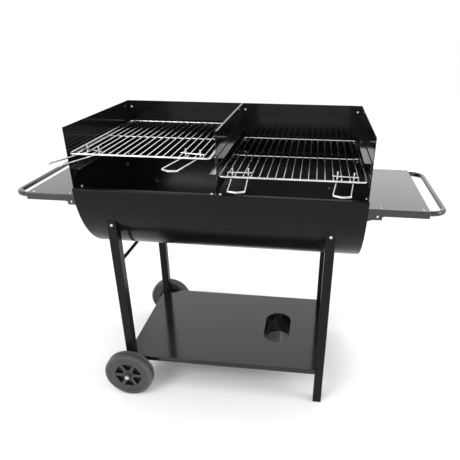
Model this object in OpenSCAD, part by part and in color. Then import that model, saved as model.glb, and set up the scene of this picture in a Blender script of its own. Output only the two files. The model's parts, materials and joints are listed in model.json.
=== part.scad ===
// Charcoal grill trolley: a half-round trough on four legs, with an open-fronted wind guard,
// two sliding grates, two side tables with tube handles, a bottom shelf with a well, and two wheels.
// Millimetres, +Z up, X along the trough, the cook stands on the -Y side.

/* [Trough] */
// Length of the trough over its end plates
trough_length = 750; // [640:10:900]
// Outer radius of the half-round shell
trough_radius = 220; // [190:5:265]
// Height of the rim above the floor
rim_height = 664; // [600:4:800]
// Width of the flange folded in along the front and back rims
rim_flange = 14; // [10:1:20]
// Thickness of the trough, guard, table and shelf sheet
sheet = 1.5; // [1:0.25:2]

/* [Wind guard] */
// Height of the guard above the rim
guard_height = 153; // [140:1:200]
// How far the side panels' front edges stand back from the trough's front
guard_setback = 5; // [2:1:20]
// How far the divider's front edge stands back from the trough's front
divider_setback = 20; // [16:1:40]
// Width of the flanges that hold the guard's panels together
guard_flange = 20; // [14:1:30]
// Depth of the skirt that the side panels reach down into the trough
guard_skirt = 24; // [20:1:40]

/* [Rails] */
// Width of a rail's shelf
rail_width = 18; // [14:1:20]
// Height of a rail's fixed leg
rail_drop = 16; // [10:1:20]
// Top of the upper rails above the rim
rail_high_rise = 89; // [80:1:110]
// Top of the lower rails above the rim
rail_low_rise = 47; // [38:1:60]

/* [Grates] */
// Diameter of the wire round a grate's edge
frame_wire = 4.5; // [4:0.5:8]
// Diameter of the wires that carry the food
bar_wire = 3.5; // [3:0.5:4]
// Number of inner wires in each grate
bar_count = 17; // [9:2:21]
// Room between a grate and the panels on each side
grate_side_gap = 6; // [4:0.5:8]
// Depth of a grate between the middles of its front and back wires
grate_depth = 424; // [340:2:440]
// How far the middle of the front wire stands in front of the trough
grate_overhang = 2; // [0:1:20]
// Bend radius of a grate's corners
grate_corner = 12; // [8:1:20]

/* [Grate grips] */
// Diameter of the grip wire
grip_wire = 4.5; // [4:0.5:6]
// Reach of a grip in front of the grate
grip_reach = 97; // [60:1:120]
// Distance from the front wire back to a grip's posts
grip_hook = 31; // [26:1:40]
// Length of the cross wire that rests on the grate
grip_cross = 64; // [56:1:80]

/* [Side tables] */
// Length of a table out from the trough
table_length = 155; // [120:5:220]
// Width of a table, front to back
table_width = 366; // [300:2:400]
// How far the table top lies below the rim
table_drop = 30; // [20:1:50]
// How far the folded edge reaches below the handle tube
table_lip = 2.5; // [1:0.5:10]
// Depth of the folded edge where it meets the trough
table_gusset = 34; // [28:1:44]
// Diameter of the handle tube
tube_diameter = 14; // [10:1:18]
// How far the handle reaches past the table
handle_reach = 47; // [36:1:80]
// Bend radius of the handle, to the middle of the tube
handle_bend = 35; // [20:1:60]

/* [Legs] */
// Width of a leg's square tube
leg_size = 25; // [20:1:30]
// Wall of a leg's tube
leg_wall = 1.5; // [1:0.25:3]
// Middle of a leg, in from the trough's end
leg_inset = 83.5; // [50:0.5:120]
// How far a leg's outer face stands back from the trough's front
leg_setback = 18; // [14:1:24]
// How far the bolt in a leg's top lies below the rim
leg_bolt_drop = 104; // [80:2:130]
// Diameter of the stretcher rods under the trough
stretcher_rod = 10; // [6:0.5:14]

/* [Shelf] */
// Height of the shelf's top above the floor
shelf_height = 124; // [110:2:200]
// Depth of the shelf's folded edge
shelf_flange = 15; // [12:1:24]
// Outer width of the well sunk in the shelf
well_width = 88; // [60:1:100]
// Outer length of the well, front to back
well_length = 172; // [110:2:220]
// Depth of the well below the shelf's top
well_depth = 82; // [40:2:92]
// Middle of the well, to the right of the trolley's middle
well_x = 149; // [60:1:160]
// Middle of the well, behind the trough's axis
well_y = 6; // [-50:1:50]

/* [Wheels] */
// Diameter of a wheel
wheel_diameter = 150; // [140:2:180]
// Width of a wheel's tread
wheel_width = 34; // [26:1:44]
// Diameter of the axle
axle_diameter = 8; // [6:0.5:10]
// Number of pockets in each face of a wheel
wheel_windows = 6; // [4:1:8]
// Radius at which a wheel's pockets start
window_inner = 18; // [17:1:24]
// Radius at which a wheel's pockets end
window_outer = 40; // [32:1:50]
// Width of the spokes between a wheel's pockets
wheel_spoke = 11; // [6:1:12]

/* [Hidden] */
$fn = 96;
LEFT = -1;
RIGHT = 1;
FRONT = -1;
BACK = 1;
SIDES = [LEFT, RIGHT];
ENDS = [FRONT, BACK];
SIDE_NAMES = ["left", "right"];
END_NAMES = ["front", "back"];
LEVEL_NAMES = ["low", "high"];
// The four panel faces that carry rails, from left to right
SEAT_NAMES = ["outer_left", "inner_left", "inner_right", "outer_right"];
// How far each grip is swung sideways on its grate, in degrees
GRIP_SWING = [-22, -12, 4, -6];
GRIP_NAMES = ["grip_left_outer", "grip_left_inner", "grip_right_inner", "grip_right_outer"];

GLOSS = [0.06, 0.06, 0.07];
SATIN = [0.16, 0.16, 0.16];
CHROME = [0.82, 0.83, 0.85];
ZINC = [0.72, 0.73, 0.74];
PLASTIC = [0.22, 0.22, 0.23];

slip = 0.1;              // radial clearance of a bolt in its hole
rest_gap = 0.3;          // clearance under and beside pieces that move
half_length = trough_length / 2;
guard_top = rim_height + guard_height;
back_face = trough_radius - sheet;
side_face = half_length - 2 * sheet;
divider_face = sheet / 2;
divider_front = divider_setback - trough_radius;
guard_front = guard_setback - trough_radius;

bay_middle = (side_face + divider_face) / 2;
grate_width = side_face - divider_face - 2 * grate_side_gap - frame_wire;
grate_front = -trough_radius - grate_overhang;
bar_pitch = grate_width / (bar_count + 1);
// Grips sit two and a half wires in from the grate's sides, with a leg in the gap on each side
grip_offset = grate_width / 2 - 2.5 * bar_pitch;
grip_width = 2 * bar_pitch;
grip_bend = 10;
grip_post = 19;
post_bend = 5;
cross_wire = 3;

rail_front = divider_front + 2;
rail_back = back_face - 2 * sheet - 1;

table_top = rim_height - table_drop;
table_end = half_length + table_length;
tube_top = table_top - sheet;
table_flange = sheet + tube_diameter + table_lip;
tube_z = tube_top - tube_diameter / 2;
tube_y = table_width / 2 - sheet - tube_diameter / 2 - 4.5;
tube_start = half_length + 14;
handle_x = table_end + handle_reach - tube_diameter / 2;

leg_x = half_length - leg_inset;
leg_face = trough_radius - leg_setback;
leg_y = leg_face - leg_size / 2;
leg_bolt_z = rim_height - leg_bolt_drop;

wheel_radius = wheel_diameter / 2;
axle_z = wheel_radius;
wheel_gap = 9;           // from a leg's outer face to the wheel
wheel_y = leg_face + wheel_gap + wheel_width / 2;
hub_radius = 12.5;
hub_width = wheel_width + 4;
wheel_rim = 8;           // how far a wheel's tread reaches in over its web
web_recess = 3;          // how far the web lies in from the tread's edge
middle_web = 4;          // left between the pockets of a wheel's two faces
axle_half = wheel_y + hub_width / 2 + 9;
foot_height = 3;
left_leg_foot = axle_z - 18;

shelf_x = leg_x + leg_size / 2;
well_flange = 8;         // how far the well's flange reaches out under the shelf
stretcher_z = rim_height - trough_radius - stretcher_rod / 2;

screw_radius = 2;
bolt_radius = 2.5;
bolt_head_radius = 4.5;
nut_radius = 4.6;
nut_height = 4;
washer_radius = 5.2;
washer_height = 0.8;
axle_washer = [7.8, 1.5];  // radius and thickness
axle_nut = [7.4, 6];       // radius over the corners and height
// A leg's nut clears the curved inside of the trough at the washer's lower edge
leg_nut_y = sqrt(pow(back_face, 2) - pow(leg_bolt_drop + washer_radius, 2)) - slip;

bracket_size = 40;
bracket_sheet = 2;
bracket_screw_x = half_length + 27;
bracket_bolt_y = 155;
bracket_z = table_top - 19;

// How far a grip's loop reaches in front of its posts when it is swung by this many degrees
function loop_reach(swing) = (grip_hook + grip_reach - grip_bend) * cos(swing)
    + (grip_width / 2 - grip_bend) * abs(sin(swing)) + grip_bend + grip_wire / 2;

// The origin is on the floor under the middle of the whole trolley, grips and wheels included
reach_front = grate_front + grip_hook - max([for (swing = GRIP_SWING) loop_reach(swing)]);
reach_back = axle_half;
middle_y = (reach_front + reach_back) / 2;

function rail_name(seat, level) = str("rail_", SEAT_NAMES[seat], "_", LEVEL_NAMES[level]);
function corner_name(kind, side, end) = str(kind, "_", END_NAMES[end], "_", SIDE_NAMES[side]);
function side_name(kind, side) = str(kind, "_", SIDE_NAMES[side]);
function end_name(kind, end) = str(kind, "_", END_NAMES[end]);
function rail_top(level) = rim_height + (level == 0 ? rail_low_rise : rail_high_rise);
// The left grate lies on the upper rails and the right one on the lower rails
function grate_level(side) = 1 - side;
function grate_z(side) = rail_top(grate_level(side)) + frame_wire / 2 + rest_gap;

// Sets a piece's colour and moves it from the trough's middle to the trolley's origin.
module piece(colour) {
    color(colour) translate([0, -middle_y, 0]) children();
}

// Mirrors a piece that is drawn on the right to the side asked for.
module on_side(side) {
    mirror([SIDES[side] == LEFT ? 1 : 0, 0, 0]) children();
}

// Mirrors a piece that is drawn at the back to the end asked for.
module on_end(end) {
    mirror([0, ENDS[end] == FRONT ? 1 : 0, 0]) children();
}

// A round rod from one point to another along Y.
module rod_y(radius, y0, y1) {
    translate([0, y0, 0]) rotate([-90, 0, 0]) cylinder(r = radius, h = y1 - y0);
}

// A round rod along X.
module rod_x(radius, x0, x1) {
    translate([x0, 0, 0]) rotate([0, 90, 0]) cylinder(r = radius, h = x1 - x0);
}

// A quarter bend in the X-Y plane, from the +X direction round to +Y.
module quarter_bend(bend, radius) {
    rotate_extrude(angle = 90) translate([bend, 0]) circle(r = radius);
}

// A domed bolt pointing down -Z from the origin, where its head rests, with a nut at its far end.
module bolt(radius, head, length, nut) {
    rise = radius * 1.2;
    ball = (head * head + rise * rise) / (2 * rise);
    intersection() {
        cylinder(r = head, h = rise);
        translate([0, 0, rise - ball]) sphere(r = ball);
    }
    translate([0, 0, -length]) cylinder(r = radius, h = length + 0.01);
    if (nut > 0) translate([0, 0, nut_height - length]) nut_body(nut);
}

// A washer and a hexagon nut, hanging below the origin.
module nut_body(radius) {
    translate([0, 0, -washer_height]) cylinder(r = washer_radius, h = washer_height);
    translate([0, 0, -nut_height]) cylinder(r = radius, h = nut_height - washer_height / 2, $fn = 6);
}

// The trough's half-round cross-section in Y and Z.
module half_disc(radius) {
    intersection() {
        circle(r = radius);
        translate([-radius, -radius]) square([2 * radius, radius]);
    }
}

// Stands a Y-Z outline up and draws it out along X from x0 to x1.
module along_x(x0, x1) {
    translate([x0, 0, 0]) rotate([90, 0, 90]) linear_extrude(x1 - x0) children();
}

module leg_bolt_holes(extra) {
    for (x = [-leg_x, leg_x]) for (end = [0:1]) {
        on_end(end) translate([x, 0, leg_bolt_z]) rod_y(bolt_radius + extra, trough_radius - 40, trough_radius);
    }
}

module rim_bolt_places() {
    for (x = [-10, 10]) for (end = [0:1]) {
        on_end(end) translate([x, back_face - washer_radius - slip, rim_height]) children();
    }
}

module trough() piece(GLOSS) difference() {
    translate([0, 0, rim_height]) along_x(sheet - half_length, half_length - sheet) {
        difference() {
            half_disc(trough_radius);
            circle(r = trough_radius - sheet);
        }
        for (end = ENDS) {
            translate([end > 0 ? trough_radius - rim_flange : -trough_radius + sheet / 2, -sheet])
                square([rim_flange - sheet / 2, sheet]);
        }
    }
    leg_bolt_holes(slip);
    rim_bolt_places() translate([0, 0, -5]) cylinder(r = bolt_radius + slip, h = 10);
}

// Bolt places through an end plate into its table brackets, front and back.
module bracket_bolt_places() {
    for (end = ENDS) translate([0, end * bracket_bolt_y, bracket_z + 10]) children();
}

// Bolt places through the end plate and the guard's skirt.
module skirt_bolt_places() {
    for (end = ENDS) translate([0, end * (trough_radius - 48), rim_height - 9]) children();
}

module end_plate(side) piece(GLOSS) on_side(side) difference() {
    translate([0, 0, rim_height]) along_x(half_length - sheet, half_length) half_disc(trough_radius);
    bracket_bolt_places() rod_x(bolt_radius + slip, half_length - 10, half_length + 10);
    skirt_bolt_places() rod_x(bolt_radius + slip, half_length - 10, half_length + 10);
}

module side_panel(side) piece(GLOSS) on_side(side) difference() {
    skirt_half = trough_radius - rim_flange - 2;
    union() {
        along_x(side_face, side_face + sheet) {
            translate([guard_front, rim_height]) square([back_face - guard_front, guard_height]);
            intersection() {
                translate([-skirt_half, rim_height - guard_skirt]) square([2 * skirt_half, guard_skirt + 1]);
                translate([0, rim_height]) circle(r = trough_radius - sheet - 1);
            }
        }
        translate([side_face - guard_flange, back_face - sheet, rail_top(1) + 6])
            cube([guard_flange + sheet, sheet, guard_top - rail_top(1) - 6]);
    }
    skirt_bolt_places() rod_x(bolt_radius + slip, half_length - 10, half_length + 10);
    guard_bolt_places() rod_y(bolt_radius + slip, back_face - 10, back_face + 10);
}

// Bolt places along the guard's back, one at each side panel and one at the divider.
module guard_bolt_places() {
    for (x = [-1, 0, 1]) {
        translate([x == 0 ? guard_flange / 2 : x * (side_face - guard_flange / 2), 0, guard_top - guard_flange])
            children();
    }
}

module back_panel() piece(GLOSS) difference() {
    union() {
        translate([-half_length, back_face, rim_height]) cube([trough_length, sheet, guard_height]);
        translate([-side_face + 1, back_face - rim_flange + 4, rim_height])
            cube([2 * side_face - 2, rim_flange - 3, sheet]);
    }
    guard_bolt_places() rod_y(bolt_radius + slip, back_face - 10, back_face + 10);
    translate([-20, back_face - rim_flange, rim_height - 1]) cube([40, rim_flange, sheet + 2]);
}

module divider() piece(GLOSS) difference() {
    foot_half = 18;
    foot_length = rim_flange - sheet;
    hem = 6;
    union() {
        translate([-divider_face, divider_front, rim_height])
            cube([sheet, back_face - divider_front, guard_height]);
        translate([-divider_face, 1 - trough_radius, rim_height])
            cube([sheet, divider_setback, foot_half]);
        translate([-divider_face, divider_front, guard_top - sheet]) cube([hem, back_face - divider_front, sheet]);
        translate([-divider_face, back_face - sheet, rail_top(1) + 6])
            cube([guard_flange + divider_face, sheet, guard_top - rail_top(1) - 6]);
        for (end = [0:1]) on_end(end) {
            translate([-foot_half, trough_radius - rim_flange, rim_height]) cube([2 * foot_half, foot_length, sheet]);
        }
    }
    guard_bolt_places() rod_y(bolt_radius + slip, back_face - 10, back_face + 10);
    rim_bolt_places() translate([0, 0, -5]) cylinder(r = bolt_radius + slip, h = 10);
}

// A rail drawn with its fixed leg on the plane x = 0 and its shelf reaching towards +X.
module rail_profile() {
    translate([0, -sheet]) square([rail_width, sheet]);
    translate([0, -rail_drop]) square([sheet, rail_drop]);
}

module rail(seat, level) piece(GLOSS) {
    face = [-side_face, -divider_face, divider_face, side_face][seat];
    turned = (seat == 1 || seat == 3) ? 1 : 0;
    translate([face, rail_back, rail_top(level)]) mirror([turned, 0, 0])
        rotate([90, 0, 0]) linear_extrude(rail_back - rail_front) rail_profile();
}

// A grate about its own middle: edge wire, inner wires, and a cross wire welded under the inner ones.
module grate_body() {
    half_x = grate_width / 2;
    half_y = grate_depth / 2;
    for (side = [0:1]) on_side(side) {
        translate([half_x, 0, 0]) rod_y(frame_wire / 2, grate_corner - half_y, half_y - grate_corner);
        for (end = [0:1]) on_end(end) {
            translate([half_x - grate_corner, half_y - grate_corner, 0]) quarter_bend(grate_corner, frame_wire / 2);
        }
    }
    for (y = [-half_y, half_y]) {
        translate([0, y, 0]) rod_x(frame_wire / 2, grate_corner - half_x, half_x - grate_corner);
    }
    for (i = [1:bar_count]) {
        translate([i * bar_pitch - half_x, 0, 0]) rod_y(bar_wire / 2, -half_y, half_y);
    }
    translate([0, 0, 1 - (bar_wire + cross_wire) / 2])
        rod_x(cross_wire / 2, bar_pitch - half_x - bar_wire / 2 - 1, half_x - bar_pitch + bar_wire / 2 + 1);
}

module grate(side) piece(CHROME) {
    translate([SIDES[side] * bay_middle, grate_front + grate_depth / 2, grate_z(side)]) grate_body();
}

// A grip about the middle of its two posts: the legs run under the front wire to a loop,
// the posts rise between the bars, and the cross wire rests on top of them.
module grip_body() {
    r = grip_wire / 2;
    leg_z = -(frame_wire / 2 + r + rest_gap);
    cross_z = (bar_wire + cross_wire) / 2 + rest_gap;
    half = grip_width / 2;
    tip = -grip_hook - grip_reach;
    for (side = [0:1]) on_side(side) {
        translate([half, 0, leg_z]) rod_y(r, tip + grip_bend, -post_bend);
        translate([half, -post_bend, leg_z + post_bend])
            rotate([90, 0, 90]) rotate([0, 0, -90]) quarter_bend(post_bend, r);
        translate([half, 0, leg_z + post_bend]) cylinder(r = r, h = grip_post - post_bend);
        translate([half - grip_bend, tip + grip_bend, leg_z]) mirror([0, 1, 0]) quarter_bend(grip_bend, r);
    }
    translate([0, tip, leg_z]) rod_x(r, grip_bend - half, half - grip_bend);
    translate([0, 1 - r - cross_wire / 2, cross_z]) rod_x(cross_wire / 2, -grip_cross / 2, grip_cross / 2);
}

module grip(i) piece(CHROME) {
    side = floor(i / 2);
    x = SIDES[side] * bay_middle + (i % 2 == 0 ? -grip_offset : grip_offset);
    translate([x, grate_front + grip_hook, grate_z(side)]) rotate([0, 0, GRIP_SWING[i]]) grip_body();
}

// Screw places through a table top into the handle tube, two along each of the tube's legs.
module table_screw_places() {
    for (x = [half_length + 33, table_end - 17]) for (end = ENDS) {
        translate([x, end * tube_y, table_top]) children();
    }
}

module table_edge() {
    polygon([[half_length, 0], [table_end, 0], [table_end, -table_flange],
             [half_length + bracket_size + 5, -table_flange], [half_length, -table_gusset]]);
}

module table(side) piece(GLOSS) on_side(side) difference() {
    half = table_width / 2;
    union() {
        translate([half_length, -half, table_top - sheet]) cube([table_length, table_width, sheet]);
        translate([table_end - sheet, -half, table_top - table_flange]) cube([sheet, table_width, table_flange]);
        for (y = [sheet - half, half]) {
            translate([0, y, table_top]) rotate([90, 0, 0]) linear_extrude(sheet) table_edge();
        }
    }
    for (end = ENDS) {
        translate([0, end * tube_y, tube_z]) rod_x(tube_diameter / 2 + slip, table_end - 10, table_end + 10);
        translate([bracket_screw_x, 0, bracket_z]) rod_y(screw_radius + slip, -half - 1, half + 1);
    }
    table_screw_places() translate([0, 0, -5]) cylinder(r = screw_radius + slip, h = 10);
}

module handle(side) piece(GLOSS) on_side(side) difference() {
    radius = tube_diameter / 2;
    union() {
        for (y_sign = ENDS) {
            translate([0, y_sign * tube_y, tube_z]) rod_x(radius, tube_start, handle_x - handle_bend);
            translate([handle_x - handle_bend, y_sign * (tube_y - handle_bend), tube_z])
                mirror([0, y_sign < 0 ? 1 : 0, 0]) quarter_bend(handle_bend, radius);
        }
        translate([handle_x, 0, tube_z]) rod_y(radius, handle_bend - tube_y, tube_y - handle_bend);
    }
    table_screw_places() translate([0, 0, -sheet - radius]) cylinder(r = screw_radius, h = radius + 2);
}

module bracket(side, end) piece(GLOSS) on_side(side) on_end(end) difference() {
    outer = table_width / 2 - sheet;
    low = bracket_z - 10;
    union() {
        translate([half_length, outer - bracket_sheet, low]) cube([bracket_size, bracket_sheet, 27]);
        translate([half_length, bracket_bolt_y - 10, low])
            cube([bracket_sheet, outer - bracket_bolt_y + 10, 27]);
    }
    translate([0, tube_y, tube_z]) rod_x(tube_diameter / 2 + 1, half_length - 1, half_length + bracket_size + 1);
    translate([bracket_screw_x, 0, bracket_z]) rod_y(screw_radius + slip, 0, table_width);
    bracket_bolt_places() rod_x(bolt_radius + slip, half_length - 10, half_length + 10);
}

module leg(side, end) piece(SATIN) on_side(side) on_end(end) difference() {
    foot = SIDES[side] == LEFT ? left_leg_foot : foot_height;
    bore = leg_size - 2 * leg_wall;
    translate([leg_x - leg_size / 2, leg_face - leg_size, foot]) cube([leg_size, leg_size, rim_height - foot]);
    translate([leg_x - bore / 2, leg_y - bore / 2, foot - 1]) cube([bore, bore, rim_height]);
    translate([0, 0, rim_height]) rod_x(trough_radius, -half_length, half_length);
    translate([leg_x, 0, leg_bolt_z]) rod_y(bolt_radius + slip, leg_y, leg_face + 1);
    translate([0, leg_y, shelf_height - shelf_flange / 2]) rod_x(bolt_radius + slip, leg_x - leg_size, leg_x + leg_size);
    if (SIDES[side] == LEFT) {
        translate([leg_x, 0, axle_z]) rod_y(axle_diameter / 2 + slip / 2, leg_face - 2 * leg_size, leg_face + 1);
    }
}

module cap(side, end) piece(PLASTIC) on_side(side) on_end(end) {
    foot = SIDES[side] == LEFT ? left_leg_foot : foot_height;
    plug = leg_size - 2 * leg_wall;
    plug_height = 10;
    translate([leg_x - leg_size / 2, leg_face - leg_size, foot - foot_height]) cube([leg_size, leg_size, foot_height]);
    translate([leg_x - plug / 2, leg_y - plug / 2, foot - 0.01]) cube([plug, plug, plug_height]);
}

module stretcher(side) piece(SATIN) on_side(side) {
    translate([leg_x, 0, stretcher_z]) rod_y(stretcher_rod / 2, leg_size - leg_face, leg_face - leg_size);
}

module shelf() piece(GLOSS) difference() {
    tab_x = leg_x - leg_size / 2 - sheet;
    low = shelf_height - shelf_flange;
    union() {
        translate([-shelf_x, -leg_face, shelf_height - sheet]) cube([2 * shelf_x, 2 * leg_face, sheet]);
        for (end = [0:1]) on_end(end) {
            translate([-tab_x, leg_face - sheet, low]) cube([2 * tab_x, sheet, shelf_flange]);
        }
        for (side = [0:1]) on_side(side) {
            translate([shelf_x - sheet, leg_size - leg_face, low])
                cube([sheet, 2 * (leg_face - leg_size), shelf_flange]);
            for (end = [0:1]) on_end(end) {
                translate([tab_x, leg_face - leg_size, low]) cube([sheet, leg_size, shelf_flange]);
            }
        }
    }
    for (side = [0:1]) on_side(side) for (end = [0:1]) on_end(end) {
        translate([leg_x - leg_size / 2, leg_face - leg_size, low - 1]) cube([leg_size + 1, leg_size + 1, shelf_flange + 2]);
    }
    shelf_bolt_places() rod_x(bolt_radius + slip, tab_x - 5, tab_x + 5);
    translate([well_x, well_y, shelf_height - 2 * sheet]) linear_extrude(3 * sheet) well_outline(sheet);
}

module shelf_bolt_places() {
    for (side = [0:1]) on_side(side) for (end = ENDS) {
        translate([0, end * leg_y, shelf_height - shelf_flange / 2]) children();
    }
}

// The well's rounded outline about its middle, drawn in by the amount asked for.
module well_outline(inset) {
    radius = well_width / 2 - inset;
    reach = (well_length - well_width) / 2;
    for (y = [-reach, reach]) translate([0, y]) circle(r = radius);
    square([2 * radius, 2 * reach], center = true);
}

// A deep pan that hangs from its flange under the hole in the shelf.
module shelf_well() piece(GLOSS) translate([well_x, well_y, 0]) {
    floor_z = shelf_height - well_depth;
    difference() {
        union() {
            translate([0, 0, floor_z]) linear_extrude(well_depth - sheet) well_outline(0);
            translate([0, 0, shelf_height - 2 * sheet]) linear_extrude(sheet) well_outline(-well_flange);
        }
        translate([0, 0, floor_z + sheet]) linear_extrude(well_depth) well_outline(sheet);
    }
}

module axle() piece(ZINC) translate([-leg_x, 0, axle_z]) rod_y(axle_diameter / 2, -axle_half, axle_half);

// The nut and washer outside each wheel and the spacer between wheel and leg.
module axle_nuts() piece(ZINC) translate([-leg_x, 0, axle_z]) for (end = [0:1]) on_end(end) {
    bore = axle_diameter / 2;
    hub_end = wheel_y + hub_width / 2;
    difference() {
        union() {
            rod_y(axle_washer[0], hub_end + rest_gap, hub_end + rest_gap + axle_washer[1]);
            translate([0, hub_end + rest_gap + axle_washer[1], 0]) rotate([-90, 0, 0])
                cylinder(r = axle_nut[0], h = axle_nut[1], $fn = 6);
        }
        rod_y(bore, leg_face, axle_half + 1);
    }
    difference() {
        rod_y(axle_washer[0], leg_face, wheel_y - hub_width / 2 - rest_gap);
        rod_y(bore, leg_face - 1, axle_half + 1);
    }
}

// One of the wheel's pockets, a trapezium with its sides along the spokes.
module wheel_window() {
    half_angle = 180 / wheel_windows;
    inner_half = window_inner * tan(half_angle) - wheel_spoke / 2;
    outer_half = window_outer * tan(half_angle) - wheel_spoke / 2;
    intersection() {
        polygon([[window_inner, -inner_half], [window_inner, inner_half],
                 [window_outer, outer_half], [window_outer, -outer_half]]);
        circle(r = window_outer);
    }
}

module wheel(end) piece(PLASTIC) on_end(end) translate([-leg_x, wheel_y, axle_z]) rotate([-90, 0, 0])
    difference() {
        web = wheel_width - 2 * web_recess;
        union() {
            difference() {
                cylinder(r = wheel_radius, h = wheel_width, center = true);
                for (z_sign = ENDS) {
                    translate([0, 0, z_sign * (web / 2 + wheel_width)])
                        cylinder(r = wheel_radius - wheel_rim, h = 2 * wheel_width, center = true);
                }
            }
            cylinder(r = hub_radius, h = hub_width, center = true);
        }
        for (i = [0:wheel_windows - 1]) {
            for (low = [middle_web / 2, -wheel_width]) {
                rotate([0, 0, i * 360 / wheel_windows]) translate([0, 0, low])
                    linear_extrude(wheel_width - middle_web / 2) wheel_window();
            }
        }
        cylinder(r = axle_diameter / 2 + slip / 2, h = 2 * wheel_width, center = true);
    }

// The guard's bolts have their heads inside and their nuts outside.
module guard_bolts() piece(ZINC) guard_bolt_places() {
    translate([0, back_face - sheet, 0]) rotate([90, 0, 0])
        bolt(bolt_radius, bolt_head_radius, 2 * sheet + nut_height, nut_radius);
}

module end_bolts() piece(ZINC) for (side = [0:1]) on_side(side) {
    skirt_bolt_places() translate([side_face, 0, 0]) rotate([0, -90, 0])
        bolt(bolt_radius, bolt_head_radius, 2 * sheet + nut_height, nut_radius);
    bracket_bolt_places() translate([half_length + bracket_sheet, 0, 0]) rotate([0, 90, 0])
        bolt(bolt_radius, bolt_head_radius, bracket_sheet + sheet + nut_height, nut_radius);
}

module leg_bolts() piece(ZINC) for (x = [-leg_x, leg_x]) for (end = [0:1]) on_end(end) {
    translate([x, leg_face, leg_bolt_z]) rotate([-90, 0, 0])
        bolt(bolt_radius, bolt_head_radius, leg_face - leg_nut_y + nut_height, nut_radius);
}

module rim_bolts() piece(ZINC) rim_bolt_places() {
    translate([0, 0, sheet]) bolt(bolt_radius, bolt_head_radius, 2 * sheet + nut_height, nut_radius);
}

module shelf_bolts() piece(ZINC) for (side = [0:1]) on_side(side) for (end = ENDS) {
    translate([leg_x + leg_size / 2, end * leg_y, shelf_height - shelf_flange / 2]) rotate([0, 90, 0])
        bolt(bolt_radius, bolt_head_radius, leg_size + sheet + nut_height, nut_radius);
}

module table_screws() piece(ZINC) for (side = [0:1]) on_side(side) {
    table_screw_places() bolt(screw_radius, 2 * screw_radius, sheet + tube_diameter / 2, 0);
    for (end = [0:1]) on_end(end) {
        translate([bracket_screw_x, table_width / 2, bracket_z]) rotate([-90, 0, 0])
            bolt(screw_radius, 2 * screw_radius, sheet + bracket_sheet + 2, 0);
    }
}

trough();
back_panel();
divider();
shelf();
shelf_well();
axle();
guard_bolts();
end_bolts();
leg_bolts();
shelf_bolts();
table_screws();
rim_bolts();
axle_nuts();
for (side = [0:1]) {
    end_plate(side);
    side_panel(side);
    grate(side);
    table(side);
    handle(side);
    stretcher(side);
    for (end = [0:1]) {
        bracket(side, end);
        leg(side, end);
        cap(side, end);
    }
}
for (seat = [0:3]) for (level = [0:1]) {
    rail(seat, level);
}
for (i = [0:3]) {
    grip(i);
}
for (end = [0:1]) {
    wheel(end);
}
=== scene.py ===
"""A charcoal grill trolley: half-round trough, wind guard, sliding grates, side tables and wheels."""

import json
import math

import bmesh
import bpy
from mathutils import Matrix, Vector


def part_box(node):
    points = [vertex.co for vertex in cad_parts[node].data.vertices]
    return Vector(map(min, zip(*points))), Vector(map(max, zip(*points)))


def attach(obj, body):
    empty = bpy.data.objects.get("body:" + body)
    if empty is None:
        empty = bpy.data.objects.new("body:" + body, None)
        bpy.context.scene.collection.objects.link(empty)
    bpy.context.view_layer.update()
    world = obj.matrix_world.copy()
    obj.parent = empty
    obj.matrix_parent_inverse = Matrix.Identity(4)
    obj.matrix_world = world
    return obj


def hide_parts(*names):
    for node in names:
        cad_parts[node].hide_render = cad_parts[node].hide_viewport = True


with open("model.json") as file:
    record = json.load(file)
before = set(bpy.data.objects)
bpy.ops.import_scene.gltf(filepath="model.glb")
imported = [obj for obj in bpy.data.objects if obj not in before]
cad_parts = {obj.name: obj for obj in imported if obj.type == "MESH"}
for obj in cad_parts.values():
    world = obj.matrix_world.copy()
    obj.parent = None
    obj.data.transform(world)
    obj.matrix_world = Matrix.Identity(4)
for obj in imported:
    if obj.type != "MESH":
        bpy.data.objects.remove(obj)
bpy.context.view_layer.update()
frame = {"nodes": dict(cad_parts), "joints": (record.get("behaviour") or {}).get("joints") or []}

# ---------------------------------------------------------------- studio
# A white floor under a white sky, with soft boxes over the front and the right, and a broad
# one behind that the side tables mirror.


def linked(name, data):
    """A new object in the scene."""
    item = bpy.data.objects.new(name, data)
    bpy.context.scene.collection.objects.link(item)
    return item


def node_material(name):
    material = bpy.data.materials.new(name)
    material.use_nodes = True
    nodes = material.node_tree.nodes
    return material, nodes, material.node_tree.links, nodes["Principled BSDF"]


def object_noise(nodes, links, scale, detail=3.0):
    """Noise that is fixed to the piece."""
    place = nodes.new("ShaderNodeTexCoord")
    noise = nodes.new("ShaderNodeTexNoise")
    noise.inputs["Scale"].default_value = scale
    noise.inputs["Detail"].default_value = detail
    links.new(place.outputs["Object"], noise.inputs["Vector"])
    return noise.outputs["Fac"]


def tinted(nodes, links, value, dark, light):
    ramp = nodes.new("ShaderNodeValToRGB")
    ramp.color_ramp.elements[0].position = 0.35
    ramp.color_ramp.elements[0].color = (*dark, 1)
    ramp.color_ramp.elements[1].position = 0.7
    ramp.color_ramp.elements[1].color = (*light, 1)
    links.new(value, ramp.inputs["Fac"])
    return ramp.outputs["Color"]


def pale_floor():
    material, nodes, links, shader = node_material("pale_floor")
    mottle = object_noise(nodes, links, scale=6.0)
    tone = tinted(nodes, links, mottle, (0.95, 0.95, 0.95), (0.97, 0.97, 0.97))
    links.new(tone, shader.inputs["Base Color"])
    shader.inputs["Roughness"].default_value = 0.7
    return material


FLOOR_HALF = 30.0
floor_mesh = bpy.data.meshes.new("floor")
floor_corners = [(x * FLOOR_HALF, y * FLOOR_HALF, 0) for x, y in ((-1, -1), (1, -1), (1, 1), (-1, 1))]
floor_mesh.from_pydata(floor_corners, [], [(0, 1, 2, 3)])
floor_mesh.materials.append(pale_floor())
floor = linked("floor", floor_mesh)

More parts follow.
